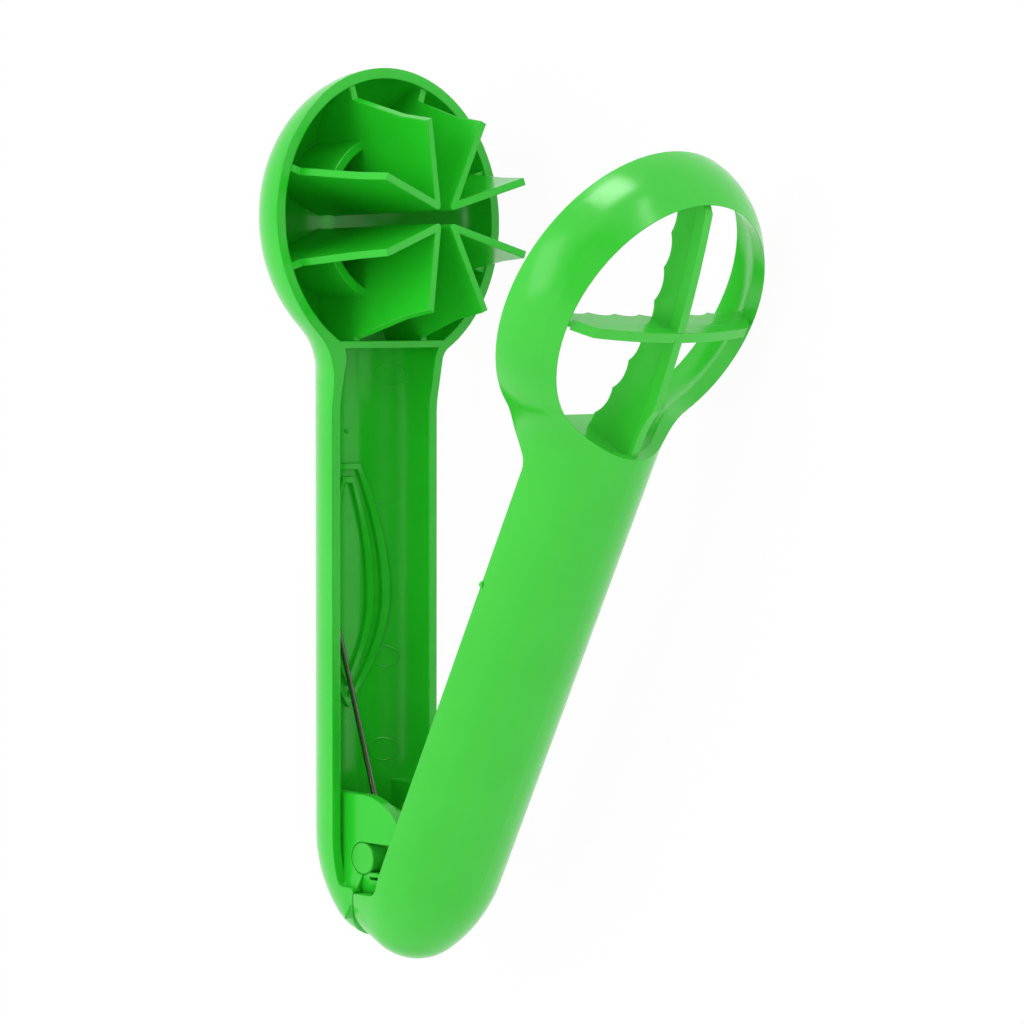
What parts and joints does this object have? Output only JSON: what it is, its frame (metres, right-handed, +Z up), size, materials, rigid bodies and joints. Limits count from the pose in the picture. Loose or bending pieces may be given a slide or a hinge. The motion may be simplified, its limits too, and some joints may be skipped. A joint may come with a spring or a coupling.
{
  "type": "grape cutter",
  "caption": "Hand-squeezed two-lever tool: fins on one lever push a grape through a cross of serrated blades in the ring of the other lever.",
  "frame": {"origin": "middle of the base of the whole tool's box, with the tool lying open on its side", "axes": "+Z up, along the hinge axis; +Y from the hinge towards the heads; +X from the pusher lever towards the cutter lever"},
  "size_m": [0.1076, 0.1782, 0.0602],
  "materials": {
    "pusher_plastic": "satin",
    "cutter_plastic": "satin",
    "pin_plastic": "satin",
    "spring_steel": "drawn wire"
  },
  "bodies": {
    "pusher": {"pusher_lever": "pusher_plastic", "torsion_spring": "spring_steel"},
    "cutter": {"cutter_lever": "cutter_plastic", "hinge_pin": "pin_plastic"}
  },
  "joints": [
    {"name": "squeeze_hinge", "type": "hinge", "parent": "pusher", "child": "cutter", "pos_m": [-0.0306, -0.0682, 0.0301], "axis": [0, 0, 1], "range_deg": [0, 29.6], "stiffness_Nm_per_rad": 0.18, "springref_deg": -17.19, "deforming": ["torsion_spring"]}
  ]
}
